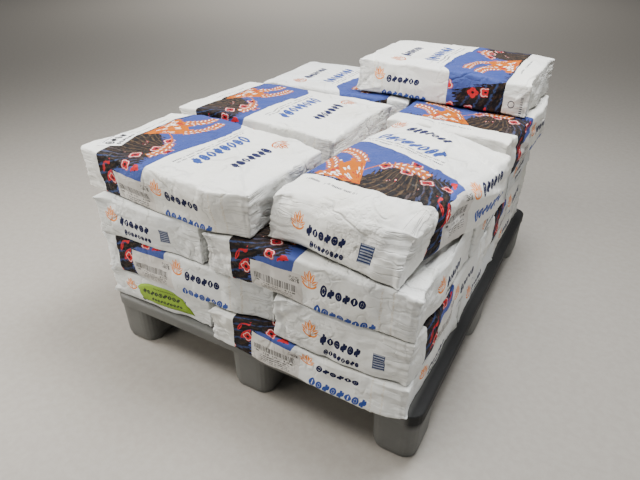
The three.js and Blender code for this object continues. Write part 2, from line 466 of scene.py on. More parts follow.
def sack_material():
    g = Graph("printed_paper")
    u_raw, v_raw = g.printed()
    u = u_raw * 1000
    v = v_raw * 1000 - HALF_GIRTH
    place = g.place()
    chance = g.value("ObjectInfo", output="Random")
    body = u < CAP_FROM
    cap = u > CAP_FROM
    top = body * (abs(v) < HALF_WIDTH)

    # Paper
    cloudy = g.noise(place, 5, 4, 0.6)
    fine = g.noise(place, 90, 3, 0.6)
    colour = g.mix(g.ramp(cloudy, 0.35, 0.7), (0.83, 0.83, 0.805), (0.79, 0.80, 0.80))
    colour = g.mix(g.ramp(fine, 0.35, 0.75, 0, 0.22), colour, (0.72, 0.71, 0.68))
    colour = g.mix(1, colour, g.mix(chance, (0.960, 0.985, 1), (1, 0.985, 0.945)), "MULTIPLY")

    art, art_colour = picture(g, u, v)

    # Words: rows of rings, grains and leaves stand where a real sack has its lettering
    def top_place(at):
        return v - at[0], u - at[1]

    navy = [motif_row(g, *top_place(TOP_NAVY_AT), 7, 20.5, 20, 3, 0.12, 7.6) * top]
    blue = motif_row(g, *top_place(TOP_BLUE_AT), 8, 25.5, 28, 20, 0.2, 9) * top
    side_blue = []
    small = [dash_row(g, v, u - at, 2.8, 5.4, line) * (abs(v) < 128) * body
             for line, at in SMALL_LINES]
    small.append(dash_row(g, v, u - MARGIN_LINE, 2.8, 4.6, 9) * (abs(v + 20) < 78) * body)
    top_orange = sprig(g, *(away * 0.82 for away in top_place(TOP_EMBLEM_AT))) * top
    orange = []
    for side, (emblem, first, second) in SIDE_PLACES:
        down = v * side - HALF_WIDTH
        on = body * (down > 0)
        orange.append(sprig(g, (u - emblem) * side, 45 - down) * on)
        navy.append(motif_row(g, (u - first) * side, 56 - down, 6, 19.6, 14, 11, 0.1, 5.6) * on)
        side_blue.append(motif_row(g, (u - second) * side, 112 - down, 8, 20.2, 15.5, 31, 0.2, 5.6) * on)

    # Box on the right side, with bars and rows of marks
    down = v - HALF_WIDTH
    box = body * between(u, *BOX_SPAN) * (down > BOX_DOWN)
    thick = g.hash((u / BAR_PITCH).floor() + 3) * 1.3 + 0.75
    bars = between(u, *BARS_SPAN) * between(down, *BARS_DOWN) * (abs(u.wrap(BAR_PITCH)) < thick)
    digits = between(u, 143, 258) * between(down, 91, 95) * (g.hash((u / 2.4).floor() + 31) > 0.45)
    lines = between(u, 160, 250) * between(down, 99, 118) * (abs(down.wrap(5.6)) < 1.4)
    lines = lines * (g.hash((u / 2.4).floor(), (down / 5.6).floor()) > 0.42)
    block = between(u, 242, 270) * between(down, 47, 61)
    block = block * (g.hash((u / 2.1).floor(), (down / 2.1).floor()) > 0.5)
    marks = box * either(bars, digits, lines, block)

    # Ring and scale on the plain margin of the left side
    ring_away = length(g, u - RING_AT[0], -HALF_WIDTH - v - RING_AT[1])
    ring = between(ring_away, 8.2, 11.2) * body
    ticks = between(u, *SCALE_SPAN) * between(v, *SCALE_ROUND) * (abs(v.wrap(6.5)) < 1.6) * body

    # End caps: c runs across from left to right, d down from the top edge
    c = u - CAP_MIDDLE
    d = 60 - (v + HALF_GIRTH - CAP_ROWS[0] - (v_raw > 0.2) * (CAP_ROWS[1] - CAP_ROWS[0]))
    orange.append(sprig(g, c + 106, 46 - d) * cap)
    navy.append(motif_row(g, c + 78, 57 - d, 6, 19, 14, 5, 0.1, 5.6) * cap)
    navy.append(motif_row(g, c + 68, 90 - d, 8, 12.8, 9.5, 19, 0.15, 3.8) * cap)
    in_block = between(c, 71, 104) * between(d, 43, 82) * cap * (v_raw < 0.2)
    stripe = either(abs(d.wrap(6)) < 1.7, abs(c - 87.5) > 14.5)
    block_colour = g.mix(stripe, (0.36, 0.39, 0.46), (0.030, 0.046, 0.120))

    # Glue and fold marks on the sides, toward the far end
    dotted = g.noise(g.combine(u, v), 0.30, 2, 0.6, "2D")
    glue = either(*(between(u, *span) for span in GLUE_SPANS)) * (abs(v) > 192) * body
    colour = g.mix(glue * g.ramp(dotted, 0.42, 0.62, 0, 0.6), colour, GLUE)

    # The top sprig and top lettering take the darker top inks, and the sides and caps the lighter side
    # inks: painted shade and light, because the tops get more light
    for mask, ink in (
        (art, art_colour), (box, GREY_BOX), (marks, MARKS), (in_block, block_colour),
        (either(*orange), SIDE_ORANGE), (top_orange, TOP_SPRIG), (either(*navy), NAVY), (blue, TEXT_BLUE),
        (either(*side_blue), SIDE_TEXT_BLUE), (either(*small, ring, ticks), SMALL_PRINT),
    ):
        colour = g.mix(mask, colour, ink)

    # Relief: crumpled paper and long soft creases
    moved = g.add_vectors(place, g.combine(chance * 9, chance * 5, chance * 7))
    crumple = g.noise(moved, 30, 4, 0.6)

    def noise_at(shift, scale):
        return g.noise(g.add_vectors(moved, g.combine(shift)), scale)

    line_a = g.ramp(abs(g.noise(moved, 9, 2, 0.45) - 0.5), 0, 0.030)
    line_b = g.ramp(abs(noise_at(3.7, 21) - 0.48), 0, 0.055)
    line_c = g.ramp(abs(noise_at(8.1, 44) - 0.50), 0, 0.090)
    patch_a = g.ramp(noise_at(1.3, 6), 0.44, 0.60)
    patch_b = g.ramp(noise_at(5.9, 8), 0.46, 0.62)
    flank = either(body * (abs(v) > 192) * (abs(v) < 300), cap)
    off_end = HALF_LENGTH - abs(u - HALF_LENGTH)
    off_cap = HALF_WIDTH - abs(u - CAP_MIDDLE)
    by_corner = body * g.ramp(off_end, 96, 4) + cap * g.ramp(off_cap, 130, 6, 0.25, 1)
    wavy = g.noise(g.combine(u * 0.011, v * 0.030, chance * 9), 1, 2)
    across = g.combine(u * 0.006 + chance * 31, v * 0.105 + wavy * 3, chance * 7)
    gather = g.ramp(abs(g.noise(across, 1, 1, 0.4) - 0.5), 0, 0.055)
    gather = (gather - 1) * flank * by_corner * g.ramp(wavy, 0.38, 0.56)
    height = crumple * 0.34 + fine * 0.10 + gather * 0.40
    height = height + line_a * patch_a * 0.46 + line_b * patch_b * 0.24 + line_c * patch_a * 0.16
    normal = g.bump(height, 0.0066, 0.80)

    # Wear: ink rubbed thin and grey finger marks; painted shade along the creases and pleats, and deep in
    # the gaps between sacks
    # Painted shade: darker along the crease lines and in the grooves of the pleats
    dust_and_crease_shade = (1 - line_a) * patch_a * 0.42 + (1 - line_b) * patch_b * 0.20 - gather * 0.34
    colour = g.mix(g.ramp(dust_and_crease_shade, 0.05, 0.60, 0, 0.60), colour, (0.70, 0.70, 0.70), "MULTIPLY")
    rub = g.ramp(g.noise(place, 38, 5, 0.7), 0.60, 0.72, 0, 0.10)
    colour = g.mix(rub, colour, (0.55, 0.54, 0.51))
    grime = g.noise(moved, 7, 5, 0.65)
    colour = g.mix(g.ramp(grime, 0.48, 0.76, 0, 0.55), colour, (0.80, 0.77, 0.70), "MULTIPLY")
    # Painted shade: the colour is darkened where openness is low, deep in the gaps between sacks
    gap = g.ramp(g.openness(0.045), 0.60, 0.08, 0, 0.86)
    colour = g.mix(gap, colour, (0.24, 0.23, 0.22), "MULTIPLY")
    roughness = g.ramp(fine, 0.3, 0.8, 0.62, 0.74)
    return g.surface(colour, roughness, normal, 0.15)


def pallet_material():
    g = Graph("moulded_plastic")
    place = g.place()
    x, y, z = g.separate(place)
    broad = g.noise(place, 6, 4, 0.6)
    grit = g.noise(place, 260, 2, 0.6)
    colour = g.mix(g.ramp(broad, 0.3, 0.7), (0.135, 0.137, 0.131), (0.180, 0.180, 0.170))
    scratch = g.ramp(g.noise(g.combine(x * 6, y * 6, z * 60), 9, 4, 0.7), 0.60, 0.72)
    nick = g.ramp(g.noise(g.combine(x * 50 + z * 30, y * 50, z * 8), 5, 3, 0.7), 0.64, 0.74)
    colour = g.mix(scratch * 0.40, colour, (0.24, 0.235, 0.22))
    colour = g.mix(nick * 0.35, colour, (0.032, 0.032, 0.033))
    # Painted shadow: the deck's right side is coloured near black, as if in shade
    right_side_painted_shadow = g.ramp(x, 0.455, 0.478, 0, 0.93) * g.ramp(z, 0.10, 0.13)
    colour = g.mix(right_side_painted_shadow, colour, (0.010, 0.010, 0.011))
    # Only dust here: lighter dust toward the floor
    dust_and_crease_shade = g.ramp(g.noise(place, 16, 5, 0.7), 0.45, 0.75) * g.ramp(z, 0.05, 0)
    colour = g.mix(dust_and_crease_shade * 0.55, colour, (0.21, 0.19, 0.165))
    height = grit * 0.25 + broad * 0.6 - nick * 0.4 + scratch * 0.3
    roughness = g.ramp(broad, 0.3, 0.7, 0.56, 0.70) + scratch * 0.08
    return g.surface(colour, roughness, g.bump(height, 0.0018, 0.6), 0.16)


def label_material(name, base, mark, rows):
    g = Graph(name)
    u, v = (value * 1000 for value in g.printed())
    place = g.place()
    fibre = g.noise(place, 60, 4, 0.6)
    colour = g.mix(g.ramp(fibre, 0.3, 0.7), base, tuple(c * 0.86 for c in base))
    masks = []
    for at, height, pitch, first, last, seed in rows:
        drift = g.math("SINE", u / 17) * (height * 0.12)
        count = round((last - first) / pitch)
        weight = height * 0.36
        masks.append(motif_row(g, u - first, v - at + drift, count, pitch, height, seed, 0.1, weight))
    colour = g.mix(either(*masks), colour, mark)
    return g.surface(colour, 0.52, g.bump(g.noise(place, 46, 3, 0.6), 0.0015, 0.5), 0.4)


def floor_material():
    g = Graph("floor")
    speck = g.noise(g.place(), 45, 4, 0.6)
    colour = g.mix(g.ramp(speck, 0.3, 0.7), (0.36, 0.335, 0.30), (0.33, 0.305, 0.27))
    return g.surface(colour, 0.6, g.bump(speck, 0.001, 0.15), 0.3)


# Mesh of one sack: the surface of a lattice, so that every sack has the same order of points

# How many cells it has each way, and how much its lines crowd together by the edges
COARSE = (40, 26, 10)
CROWD = np.array((0.45, 0.45, 0.08))
SIM_FRAMES = 20
# Filling, in metres: half sizes of the box, height of the plates, radius of the edges, how uneven
# the start is, the distance kept, and the longest moves that are used
SIM_HALF = np.array((0.2825, 0.1835, 0.056))
SIM_PLATE = 0.0575
SIM_RADIUS = 0.010
SIM_JITTER = 0.0006
SIM_SKIN = 0.001
MOST_SWELLING = 0.024
MOST_WRINKLE = 0.006
BROAD_SHARE = np.array((0.42, 0.42, 0.08))
WRINKLE_GAIN = 1.6
# How far the box of a sack's paper is set back from its ends, sides and top, and the radii of its
# edges, of its upright corners and of the askew sack's front and rear corners, in metres
SET_BACK = np.array((0.006, 0.007, 0.0012))
EDGE_RADIUS = 0.0048
CORNER_RADIUS = 0.009
SOFT_RADIUS = 0.024
REAR_RADIUS = 0.012
# How much wider than its solid the paper is at the middle of its sides, and narrower at its ends
SIDE_BULGE = 1.018
END_TAPER = 0.022


def lattice(counts):
    index = -np.ones([c + 1 for c in counts], dtype=int)
    grid = np.indices(index.shape).reshape(3, -1).T
    points = grid[((grid == 0) | (grid == np.array(counts))).any(axis=1)]
    index[tuple(points.T)] = np.arange(len(points))
    quads, sides = [], []
    for axis in range(3):
        a, b = (axis + 1) % 3, (axis + 2) % 3
        ia, ib = (m.ravel() for m in np.meshgrid(np.arange(counts[a]), np.arange(counts[b]), indexing="ij"))
        for end in (0, counts[axis]):
            ring = []
            for da, db in ((0, 0), (1, 0), (1, 1), (0, 1)):
                p = np.zeros((len(ia), 3), dtype=int)
                p[:, axis], p[:, a], p[:, b] = end, ia + da, ib + db
                ring.append(index[tuple(p.T)])
            made = np.stack(ring if end else ring[::-1], axis=1)
            quads.append(made)
            sides.append(np.full(len(made), axis * 2 + (1 if end else 0)))
    return index, points, np.concatenate(quads), np.concatenate(sides)


def placing(points, counts):
    """Where lattice points lie across the box, from minus 1 to 1, closer together by its edges."""
    t = points / np.array(counts)
    return (t - CROWD * np.sin(2 * math.pi * t) / (2 * math.pi)) * 2 - 1


def rounded_box(t, half, radii):
    """Points and outward directions on a box whose edge radius is given point by point."""
    box = t * half
    inner = half - radii
    theta = np.clip((np.abs(box) - inner) / radii, 0, 1) * math.pi / 4
    direction = np.where(np.isclose(np.abs(t), 1), 1.0, np.tan(theta)) * np.sign(t)
    direction /= np.linalg.norm(direction, axis=1)[:, None]
    return np.clip(box, -inner, inner) + direction * radii, direction


def new_mesh(name, co, faces, smooth=True):
    mesh = bpy.data.meshes.new(name)
    mesh.from_pydata(co.tolist(), [], faces.tolist() if hasattr(faces, "tolist") else faces)
    if smooth:
        mesh.polygons.foreach_set("use_smooth", [True] * len(mesh.polygons))
    return mesh


def smooth_values(values, quads, rounds):
    """Each value brought halfway to the mean of its neighbours, this many times."""
    count = len(values)
    pairs = np.concatenate([quads[:, [0, 1]], quads[:, [1, 2]], quads[:, [2, 3]], quads[:, [3, 0]]])
    pairs = np.concatenate([pairs, pairs[:, ::-1]])
    degree = np.bincount(pairs[:, 0], minlength=count)[:, None]
    for _ in range(rounds):
        total = np.stack([
            np.bincount(pairs[:, 0], weights=values[pairs[:, 1], k], minlength=count)
            for k in range(values.shape[1])
        ], axis=1)
        values = (values + total / degree) / 2
    return values


def shortened(moves, most):
    """The same moves, none of them longer than this."""
    return moves * np.minimum(1, most / np.maximum(np.linalg.norm(moves, axis=1), 1e-6))[:, None]


def simulate(seed, pressure, growth, bending):
    """How far each coarse point moves when the paper is filled between two plates.

    The broad swelling is made smaller and the wrinkles larger, as packed flour does.
    """
    _, points, quads, _ = lattice(COARSE)
    start, _ = rounded_box(placing(points, COARSE), SIM_HALF, np.full((len(points), 1), SIM_RADIUS))
    co = start + np.random.default_rng(seed).normal(0, SIM_JITTER, start.shape)
    ob = add_object("filling", new_mesh("filling", co, quads))
    cloth = ob.modifiers.new("Cloth", "CLOTH")
    s = cloth.settings
    s.quality = 6
    s.mass = 0.3
    s.tension_stiffness = s.compression_stiffness = s.shear_stiffness = 80
    s.bending_stiffness = bending
    s.shrink_min = -growth
    s.use_pressure = True
    s.uniform_pressure_force = pressure
    s.effector_weights.gravity = 0
    cloth.collision_settings.use_collision = True
    cloth.collision_settings.distance_min = SIM_SKIN
    cloth.point_cache.frame_start, cloth.point_cache.frame_end = 1, SIM_FRAMES
    plates = []
    for z in (-SIM_PLATE, SIM_PLATE):
        corners = np.array([(-1, -1, z), (1, -1, z), (1, 1, z), (-1, 1, z)])
        plate = add_object("plate", new_mesh("plate", corners, [(0, 1, 2, 3)], False))
        plate.modifiers.new("Collision", "COLLISION")
        plate.collision.thickness_outer = SIM_SKIN
        plates.append(plate)
    for step_at in range(1, SIM_FRAMES + 1):
        scene.frame_set(step_at)
    seen = ob.evaluated_get(bpy.context.evaluated_depsgraph_get())
    moved = np.empty(len(co) * 3)
    seen.data.vertices.foreach_get("co", moved)
    shift = shortened(moved.reshape(-1, 3) - start, MOST_SWELLING)
    scene.frame_set(1)
    for gone in [ob, *plates]:
        mesh = gone.data
        bpy.data.objects.remove(gone)
        bpy.data.meshes.remove(mesh)
    broad = smooth_values(shift, quads, 24)
    return broad * BROAD_SHARE + shortened(shift - broad, MOST_WRINKLE) * WRINKLE_GAIN


def cell_corners(part):
    """The corners of the cell that each point is in, and how much each corner counts."""
    for corner in product((0, 1), repeat=3):
        yield np.array(corner), np.prod(np.where(np.array(corner), part, 1 - part), axis=1)


def refine(values, times):
    """Values at the points of the coarse lattice, spread to one that is finer by whole times."""
    index, _, _, _ = lattice(COARSE)
    counts = tuple(c * times for c in COARSE)
    _, points, quads, sides = lattice(counts)
    at = points / times
    low = np.minimum(np.floor(at).astype(int), np.array(COARSE) - 1)
    part = at - low
    part = np.where(np.isclose(part, 0), 0, np.where(np.isclose(part, 1), 1, part))
    total = np.zeros((len(points), values.shape[1]))
    for corner, weight in cell_corners(part):
        which = index[tuple((low + corner).T)]
        total += weight[:, None] * np.where((which >= 0)[:, None], values[np.maximum(which, 0)], 0)
    return total, counts, points, quads, sides


def hash01(i, j, k, seed):
    """A repeatable number from 0 to 1 for each whole-number cell."""
    n = (i * 73856093) ^ (j * 19349663) ^ (k * 83492791) ^ (seed * 2654435761 & 0xFFFFFFFF)
    n = n & 0xFFFFFFFF
    n = ((n ^ (n >> 15)) * 2246822519) & 0xFFFFFFFF
    n = ((n ^ (n >> 13)) * 3266489917) & 0xFFFFFFFF
    return ((n ^ (n >> 16)) & 0xFFFFFF) / float(0xFFFFFF)


def noise3(p, seed):
    """Smooth noise from minus 1 to 1 at points p."""
    base = np.floor(p).astype(np.int64)
    f = p - base
    f = f * f * f * (f * (f * 6 - 15) + 10)
    total = np.zeros(len(p))
    for corner, weight in cell_corners(f):
        total += weight * hash01(*(base + corner).T, seed)
    return total * 2 - 1


def facets(a, b, seed):
    """Flat triangles that meet in sharp folds, from minus 1 to 1."""
    i, j = np.floor(a).astype(np.int64), np.floor(b).astype(np.int64)
    fa, fb = a - i, b - j
    h = [[hash01(i + m, j + n, i * 0, seed) * 2 - 1 for n in (0, 1)] for m in (0, 1)]
    lower = h[0][0] + fa * (h[1][0] - h[0][0]) + fb * (h[1][1] - h[1][0])
    upper = h[0][0] + fb * (h[0][1] - h[0][0]) + fa * (h[1][1] - h[0][1])
    return np.where(fa > fb, lower, upper)


def step(x, low, high):
    t = np.clip((x - low) / (high - low), 0, 1)
    return t * t * (3 - 2 * t)


# The surface between two layers is uneven, and both layers follow it. Each of its waves has radians
# per metre, a direction, a phase and a height, which WAVE_GAIN turns into millimetres
RNG = np.random.default_rng(20)
WAVES = [
    [[RNG.uniform(*span) for span in ((5, 13), (0, 6.28), (0, 6.28), (0.6, 1.0))] for _ in range(5)]
    for _ in range(6)
]
WAVE_GAIN = 1.3

# Along the front edge at the right two layers sag further: by place in metres, in millimetres
FRONT_SAG = {
    1: ([0.03, 0.098, 0.15, 0.22, 0.30, 0.38, 0.44, 0.48], [0, 15, 23, 29, 27, 22, 12, 6]),
    2: ([0.04, 0.12, 0.17, 0.25, 0.33, 0.42, 0.48], [0, 4, 7, 12, 12, 6, 2]),
}


def sag_of(layer, x, y):
    """How far the surface on top of this layer (0 for the deck) lies off its plane."""
    total = np.zeros_like(x)
    if layer == 0:
        return total
    for wave, way, phase, size in WAVES[layer]:
        total += size * np.cos(wave * (x * math.cos(way) + y * math.sin(way)) + phase)
    outer = np.maximum(np.abs(x) - 0.42, 0) + np.maximum(np.abs(y) - 0.52, 0)
    total = total * WAVE_GAIN * MM - np.minimum(outer * 0.05, 0.005)
    if layer in FRONT_SAG:
        total -= np.interp(x, *FRONT_SAG[layer]) * MM * step(-y, 0.46, 0.592)
    return total


def uv_of(t, quads, sides, sack):
    """Where each corner of each face lies on the printed sheet, in metres."""
    half_length, half_width, tall = HALF_LENGTH / 1000, HALF_WIDTH / 1000, SIDE_HEIGHT / 1000
    half_girth, cap_middle, round_edge = HALF_GIRTH / 1000, CAP_MIDDLE / 1000, half_width + tall
    x, y, z = (t[:, 0] + 1) * half_length, t[:, 1] * half_width, (t[:, 2] + 1) * (tall / 2)
    out = np.zeros((len(quads), 4, 2))
    for side in range(6):
        on = sides == side
        q = quads[on]
        qx, qy, qz = x[q], y[q], z[q]
        if side in (0, 1):
            u = cap_middle + (qy if side else -qy) + sack.cap_shift
            v = CAP_ROWS[side] / 1000 - half_girth + (qz - 0.055) + sack.cap_drop
        else:
            drawn = sack.stretch + sack.skew * np.clip((qy + 0.15) / 0.33, 0, 1)
            u = qx + sack.slide - drawn * step(qx, 0.08, 0.34)
            if side == 5:
                v = -qy
            elif side == 4:
                in_front = qy.mean(axis=1, keepdims=True) < 0
                v = np.where(in_front, round_edge + (half_width + qy), -round_edge - (half_width - qy))
            else:
                v = (half_width + (tall - qz)) * (1 if side == 2 else -1)
            v = np.clip(v + sack.girth_shift, -SHEET_EDGE / 1000, SHEET_EDGE / 1000)
        out[on, :, 0] = u
        out[on, :, 1] = v + half_girth
    return out.reshape(-1, 2)


# What a sack has unless its place or DETAILS says otherwise. Sizes are in millimetres, the shifts
# of its print in metres, and times is how much finer than the coarse lattice its mesh is
COMMON = dict(
    along_y=False, turned_round=False, askew=False, yaw=0, length=SACK_LENGTH, width=SACK_WIDTH,
    times=2, open_top=0, crush=1, foot=0, ears=(), corners=(), lows=(), laps=(), folds=(),
    cap_shift=0, cap_drop=0, girth_shift=0, slide=0, stretch=0, skew=0,
)


def new_sack(name, **spec):
    """One sack: where it lies, in millimetres, and how its filled shape differs."""
    sack = SimpleNamespace(name=name, **{**COMMON, **spec})
    turn = (90 if sack.along_y else 0) + sack.yaw + (180 if sack.turned_round else 0)
    sack.turn = math.radians(turn)
    sack.height = (sack.top - sack.bottom) * MM
    sack.ends = np.array((sack.length, sack.width, sack.top - sack.bottom)) / 2 * MM
    return sack


def crumple(p, direction, seed):
    """Flat facets that meet in folds, as in paper that was crushed, in metres outward."""
    weight = direction ** 4
    weight /= weight.sum(axis=1)[:, None]
    total = np.zeros(len(p))
    for axis in range(3):
        bend = 0.012 * noise3(p * 11 + 7 * axis, seed + 2)
        a = p[:, (axis + 1) % 3] + bend
        b = p[:, (axis + 2) % 3] - bend
        coarse = facets((a * 0.90 + b * 0.43) * 16, (b * 0.90 - a * 0.43) * 16, seed + axis)
        close = facets((a * 0.62 - b * 0.78) * 37, (b * 0.62 + a * 0.78) * 37, seed + axis + 5)
        total += weight[:, axis] * (coarse * 1.9 + close * 0.75)
    return total * MM


def pleats(p, t, direction, half, seed):
    """Folds across the paper by the upright corners, where it is gathered, in metres outward."""
    near = half[0] - np.abs(p[:, 0])
    across = half[1] - np.abs(p[:, 1])
    side_face = step(np.abs(direction[:, 1]), 0.45, 0.80)
    end_face = step(np.abs(direction[:, 0]), 0.45, 0.80)
    stray = 0.9 * noise3(p * 13, seed + 2) + p[:, 0] * 5 * np.sign(p[:, 0]) * t[:, 2]
    q = np.stack([p[:, 0] * 8, p[:, 1] * 8, p[:, 2] * 66 + stray], axis=1)
    lines = 0.5 - 1.7 * np.abs(noise3(q + 11.3, seed))
    q[:, 2] *= 1.9
    lines += 0.45 * (0.4 - 1.3 * np.abs(noise3(q + 3.1, seed + 1)))
    patch = 0.75 + 0.75 * noise3(p * 15 + 5.5, seed + 3)
    on_side = np.exp(-np.maximum(near, 0) / 0.060) * side_face
    on_end = (0.30 + 0.70 * np.exp(-np.maximum(across, 0) / 0.05)) * end_face
    gather = lines * (on_side + on_end) * np.clip(patch, 0.1, 1.6) * (1 - np.abs(t[:, 2]) ** 8)
    hem = (1 - step(near, 0.0100, 0.0135)) * side_face
    return gather * 3.0 * MM - hem * 2.2 * MM


def long_creases(p, direction, seed, count, half):
    """Sharp shallow folds that run over the top and the sides."""
    draw = np.random.default_rng(seed)
    total = np.zeros(len(p))
    for _ in range(count):
        centre = np.array([draw.uniform(-1, 1) * half[0], draw.uniform(-1, 1) * half[1]])
        angle = draw.uniform(0, math.pi)
        size = draw.uniform(0.05, 0.16)
        depth = draw.uniform(0.6, 1.7) * MM
        bend = draw.uniform(-1.5, 1.5)
        dx, dy = p[:, 0] - centre[0], p[:, 1] - centre[1]
        along = dx * math.cos(angle) + dy * math.sin(angle)
        off = -dx * math.sin(angle) + dy * math.cos(angle) + bend * along * along
        fade = np.exp(-(along / size) ** 2)
        total += depth * fade * np.sign(off) * np.exp(-np.abs(off) / 0.012)
    return total * (np.abs(direction[:, 2]) > 0.4)


def fold(p, a, b, width, depth):
    """A straight sharp fold from a to b in local metres, up or down by its depth."""
    size = np.linalg.norm(b - a)
    way = (b - a) / size
    along = (p - a) @ way
    off = np.linalg.norm(p - a - along[:, None] * way, axis=1)
    fade = step(along, -0.02, 0.02) * step(size - along, -0.03, 0.03)
    return depth * fade * np.maximum(0, 1 - off / width) ** 1.2


def lap(x, y, line, height, width):
    """The edge of a piece of folded paper: a step along a line of points, all in millimetres."""
    best = np.full(len(x), np.inf)
    step_side = np.zeros(len(x))
    for (ax, ay), (bx, by) in zip(line, line[1:]):
        size = math.hypot(bx - ax, by - ay)
        wx, wy = (bx - ax) / size, (by - ay) / size
        along = np.clip((x - ax) * wx + (y - ay) * wy, 0, size)
        dx, dy = x - ax - along * wx, y - ay - along * wy
        off = np.hypot(dx, dy)
        nearer = off < best
        best = np.where(nearer, off, best)
        step_side = np.where(nearer, np.sign(wx * dy - wy * dx), step_side)
    return height * step_side * np.exp(-best / width) * (1 - step(best, 2.5 * width, 4 * width))


def pull_ears(p, ends, ears):
    """Pointed paper ears at corners: signs of the corner, and where its tip goes, in millimetres."""
    small = [((sx, sy, sz), (sx * 4, sy * 3, sz * 0.5)) for sx, sy, sz in product((-1, 1), repeat=3)]
    for (signs, tip), spread in [(e, 0.024) for e in small] + [(e, 0.034) for e in ears]:
        corner = np.array(signs) * (ends - 0.008)
        rel = p - corner
        pull = np.clip(1 - np.linalg.norm(rel, axis=1) / spread, 0, 1) ** 1.25
        thin = int(np.argmin(np.abs(tip)))
        p[:, thin] -= rel[:, thin] * pull * 0.7
        p += pull[:, None] * np.array(tip) * MM
    return p


def askew_front(side, share):
    """Where the front end of the askew sack is, across it and up it."""
    low, high = (np.interp(side / MM, ASKEW_FRONT[0], row) for row in ASKEW_FRONT[1:])
    return (low + (high - low) * np.clip(share, 0, 1) ** 1.5) * MM


def filled_shape(sack, shapes):
    """The sack's lattice, and one of the filled shapes on it, turned over or round for variety."""
    index, coarse, _, _ = lattice(COARSE)
    swap = np.random.default_rng(1000 + sack.seed).random(3) < 0.5
    mirrored = np.where(swap, np.array(COARSE) - coarse, coarse)
    values = shapes[sack.seed % len(shapes)][index[tuple(mirrored.T)]] * np.where(swap, -1, 1)
    fine, counts, points, quads, sides = refine(values, sack.times)
    return smooth_values(fine, quads, 1), placing(points, counts), quads, sides


def creased(sack, filled, t):
    """The paper's points round the sack's middle, with relief, corners and ears, and the way out."""
    half = sack.ends - SET_BACK
    box = np.abs(t) * half
    corner = np.hypot(half[0] - box[:, 0], half[1] - box[:, 1])[:, None]
    rear = step(t[:, :1], -0.2, 0.6)
    soft = SOFT_RADIUS - (SOFT_RADIUS - REAR_RADIUS) * rear if sack.askew else CORNER_RADIUS
    radii = EDGE_RADIUS + (soft - EDGE_RADIUS) * step(corner, 0.0, 0.10)
    p, direction = rounded_box(t, half, radii)
    p = p + filled * (1.2 if sack.askew else 1.0)
    covered = step(direction[:, 2], 0.80, 0.97) * (1 - sack.open_top) + step(-direction[:, 2], 0.80, 0.97)
    relief = crumple(p, direction, 200 + sack.seed * 11) * sack.crush * (1 - 0.75 * covered)
    relief += pleats(p, t, direction, half, 40 + sack.seed * 7) * min(sack.crush, 1.3)
    relief += long_creases(p, direction, 70 + sack.seed, 16, half) * (1 - 0.6 * covered)
    relief += noise3(p * 8 + sack.seed * 3.7, 5) * (1 - covered) * 2.0 * MM
    p = p + direction * relief[:, None]
    for (sx, sy), (dx, dy) in sack.corners:
        weight = step(t[:, 0] * sx, 0.55, 1.0) * step(t[:, 1] * sy, -0.1, 0.9)
        p[:, 0] += dx * weight * MM
        p[:, 1] += dy * weight * MM
    return pull_ears(p, sack.ends, sack.ears), direction


def fitted(sack, p, t, direction):
    """The points at the size and shape of the solid: along it, to its left and up from its bottom."""
    ends = sack.ends
    side_limit = ends[1] * SIDE_BULGE + 0.0015
    # A few points, such as ears, may lie outside
    p[:, 1] *= side_limit / np.percentile(np.abs(p[:, 1]), 99.0)
    p[:, 0] *= ends[0] / np.percentile(np.abs(p[:, 0]), 98.5)
    along, side = p[:, 0], p[:, 1]
    along_share = along / ends[0]
    side *= 1 - END_TAPER * np.minimum(np.abs(along_share), 1.1) ** 5
    up = p[:, 2] / (2 * ends[2]) + 0.5
    low, high = np.percentile(up, 1.0), np.percentile(up, 98.0 if sack.open_top else 99.0)
    up = np.clip((up - low) / (high - low), -0.01, 1.01 + 0.02 * sack.open_top)
    side_share = side / side_limit

    if sack.askew:
        right, left, tall = (np.interp(along / MM, ASKEW_PROFILE[0], row) for row in ASKEW_PROFILE[1:])
        side = ((right + left) / 2 + side_share * (left - right) / 2) * MM
        edge_drop = np.interp(along / MM, [-288, 60, 200, 288], [0.17, 0.18, 0.12, 0.06])
        rise = up * tall * (1 - edge_drop * np.minimum(np.abs(side_share), 1.1) ** 2.5) * MM
        along = along + step(-along, -0.10, 0.21) * (askew_front(side, up) + ends[0])
        unit, middle = MM, 0
    else:
        crown = 1 - sack.open_top * (0.020 * np.abs(along_share) ** 6 + 0.014 * np.abs(side_share) ** 4)
        rise = up * (sack.height - REST_GAP * MM) * np.where(up > 0.5, crown, 1)
        unit, middle = ends, np.array((0, 0, ends[2]))
    q = np.stack([along, side, rise], axis=1)
    swell = step(-t[:, 1], 0.3, 1.0) * np.sin(math.pi * np.clip(1.25 - up, 0, 1)) * (1 - t[:, 0] ** 6)
    q[:, 1] -= sack.foot * MM * swell
    for (cx, cy), (rx, ry), down in sack.lows:
        near = ((along_share - cx) / rx) ** 2 + ((side_share - cy) / ry) ** 2
        q[:, 2] -= down * MM * np.exp(-near) * step(up, 0.35, 0.95)
    upward = step(direction[:, 2], 0.55, 0.85)
    for line, height, width in sack.laps:
        q[:, 2] += lap(q[:, 0] / MM, q[:, 1] / MM, line, height, width) * upward * MM
    depth = np.zeros(len(q))
    for *places, width, deep in sack.folds:
        a, b = (np.array(place) * unit + middle for place in (places[:3], places[3:]))
        depth += fold(q, a, b, width * MM, deep * MM)
    return q + direction * depth[:, None]


